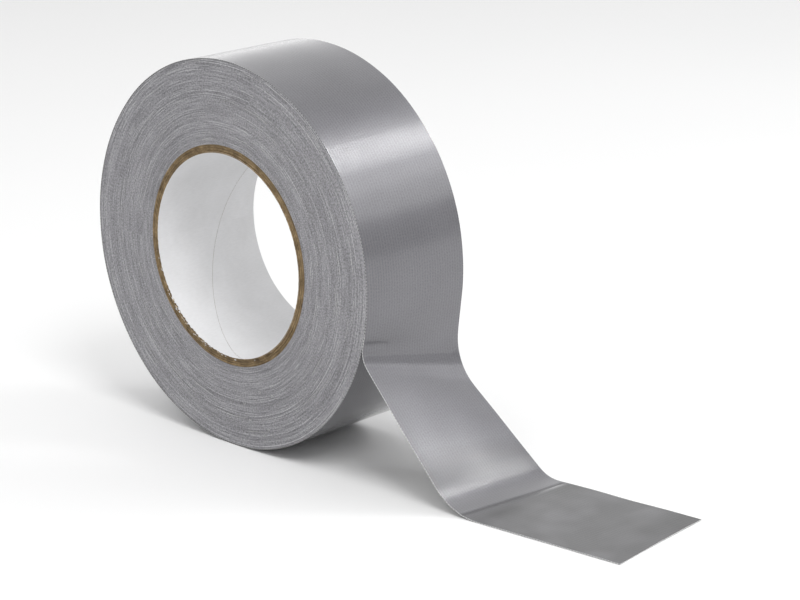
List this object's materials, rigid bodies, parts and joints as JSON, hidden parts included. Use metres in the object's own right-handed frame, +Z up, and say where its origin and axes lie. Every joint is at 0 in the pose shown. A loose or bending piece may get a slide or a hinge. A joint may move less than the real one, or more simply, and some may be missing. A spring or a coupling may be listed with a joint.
{
  "type": "duct tape roll",
  "caption": "Roll of silver-grey cloth-backed duct tape on a wound paperboard core, standing on its rim, with its free end peeled off and laid on the floor.",
  "frame": {"origin": "centre of the core's bore, half way along it", "axes": "+Y along the roll's axis, +Z up, +X towards the side where the free end leaves the roll"},
  "size_m": [0.2501, 0.0557, 0.1441],
  "materials": {
    "liner_paper": "matt off-white paper",
    "core_board": "matt brown kraft board",
    "wound_edge": "cut edges of the wound layers",
    "tape_backing": "satin silver-grey film over cloth"
  },
  "bodies": {
    "roll": {"core_liner": "liner_paper", "core_ply_1": "core_board", "core_ply_2": "core_board", "core_ply_3": "core_board", "core_ply_4": "core_board", "core_ply_5": "core_board", "core_ply_6": "core_board", "wound_tape": "wound_edge", "tail_lead": "tape_backing"},
    "tail_peel_1": {"tail_peel_1": "tape_backing"},
    "tail_peel_2": {"tail_peel_2": "tape_backing"},
    "tail_peel_3": {"tail_peel_3": "tape_backing"},
    "tail_slope_1": {"tail_slope_1": "tape_backing"},
    "tail_slope_2": {"tail_slope_2": "tape_backing"},
    "tail_slope_3": {"tail_slope_3": "tape_backing"},
    "tail_knee_1": {"tail_knee_1": "tape_backing"},
    "tail_knee_2": {"tail_knee_2": "tape_backing"},
    "tail_knee_3": {"tail_knee_3": "tape_backing"},
    "tail_knee_4": {"tail_knee_4": "tape_backing"},
    "tail_foot_1": {"tail_foot_1": "tape_backing"},
    "tail_foot_2": {"tail_foot_2": "tape_backing"},
    "tail_foot_3": {"tail_foot_3": "tape_backing"},
    "tail_foot_4": {"tail_foot_4": "tape_backing"}
  },
  "joints": [
    {"name": "tail_peel_1_bend", "type": "hinge", "parent": "roll", "child": "tail_peel_1", "pos_m": [0.06907, 0, -0.02553], "axis": [-0.0165, 0.9938, -0.1102], "range_deg": [-7, 24.74]},
    {"name": "tail_peel_2_bend", "type": "hinge", "parent": "tail_peel_1", "child": "tail_peel_2", "pos_m": [0.06957, 0.00002, -0.02898], "axis": [-0.0165, 0.9938, -0.1102], "range_deg": [-5.6, 19.74]},
    {"name": "tail_peel_3_bend", "type": "hinge", "parent": "tail_peel_2", "child": "tail_peel_3", "pos_m": [0.07102, 0.00008, -0.03214], "axis": [-0.0165, 0.9938, -0.1102], "range_deg": [-6.47, 22.83]},
    {"name": "tail_slope_1_bend", "type": "hinge", "parent": "tail_peel_3", "child": "tail_slope_1", "pos_m": [0.078, 0.0005, -0.04011], "axis": [-0.0904, 0.9955, -0.0266], "range_deg": [-5, 9.2]},
    {"name": "tail_slope_2_bend", "type": "hinge", "parent": "tail_slope_1", "child": "tail_slope_2", "pos_m": [0.08498, 0.00092, -0.04808], "axis": [-0.0904, 0.9955, -0.0266], "range_deg": [-5.02, 9.22]},
    {"name": "tail_slope_3_bend", "type": "hinge", "parent": "tail_slope_2", "child": "tail_slope_3", "pos_m": [0.09196, 0.00134, -0.05604], "axis": [-0.0904, 0.9955, -0.0266], "range_deg": [-5.02, 9.22]},
    {"name": "tail_knee_1_bend", "type": "hinge", "parent": "tail_slope_3", "child": "tail_knee_1", "pos_m": [0.09894, 0.00176, -0.06401], "axis": [-0.1137, 0.9935, 0], "range_deg": [-9, 18.99]},
    {"name": "tail_knee_2_bend", "type": "hinge", "parent": "tail_knee_1", "child": "tail_knee_2", "pos_m": [0.10414, 0.00213, -0.06787], "axis": [-0.1137, 0.9935, 0], "range_deg": [-8.24, 17.37]},
    {"name": "tail_knee_3_bend", "type": "hinge", "parent": "tail_knee_2", "child": "tail_knee_3", "pos_m": [0.11003, 0.00257, -0.07055], "axis": [-0.1137, 0.9935, 0], "range_deg": [-8.24, 17.37]},
    {"name": "tail_knee_4_bend", "type": "hinge", "parent": "tail_knee_3", "child": "tail_knee_4", "pos_m": [0.11636, 0.00306, -0.07192], "axis": [-0.1137, 0.9935, 0], "range_deg": [-9.28, 19.56]},
    {"name": "tail_foot_1_bend", "type": "hinge", "parent": "tail_knee_4", "child": "tail_foot_1", "pos_m": [0.12831, 0.004, -0.07192], "axis": [-0.0785, 0.9969, 0], "range_deg": [-9, 9.54]},
    {"name": "tail_foot_2_bend", "type": "hinge", "parent": "tail_foot_1", "child": "tail_foot_2", "pos_m": [0.14026, 0.00494, -0.07192], "axis": [-0.0785, 0.9969, 0], "range_deg": [-9.02, 9.56]},
    {"name": "tail_foot_3_bend", "type": "hinge", "parent": "tail_foot_2", "child": "tail_foot_3", "pos_m": [0.1522, 0.00588, -0.07192], "axis": [-0.0785, 0.9969, 0], "range_deg": [-9.02, 9.56]},
    {"name": "tail_foot_4_bend", "type": "hinge", "parent": "tail_foot_3", "child": "tail_foot_4", "pos_m": [0.16415, 0.00683, -0.07192], "axis": [-0.0785, 0.9969, 0], "range_deg": [-9.02, 9.56]}
  ],
  "couplings": [
    {"joint": "tail_peel_2_bend", "follows": "tail_peel_1_bend", "ratio": 0.79722},
    {"joint": "tail_peel_3_bend", "follows": "tail_peel_1_bend", "ratio": 0.92207},
    {"joint": "tail_slope_2_bend", "follows": "tail_slope_1_bend", "ratio": 1},
    {"joint": "tail_slope_3_bend", "follows": "tail_slope_1_bend", "ratio": 1},
    {"joint": "tail_knee_2_bend", "follows": "tail_knee_1_bend", "ratio": 0.91388},
    {"joint": "tail_knee_3_bend", "follows": "tail_knee_1_bend", "ratio": 0.91388},
    {"joint": "tail_knee_4_bend", "follows": "tail_knee_1_bend", "ratio": 1.029},
    {"joint": "tail_foot_2_bend", "follows": "tail_foot_1_bend", "ratio": 1},
    {"joint": "tail_foot_3_bend", "follows": "tail_foot_1_bend", "ratio": 1},
    {"joint": "tail_foot_4_bend", "follows": "tail_foot_1_bend", "ratio": 1}
  ]
}
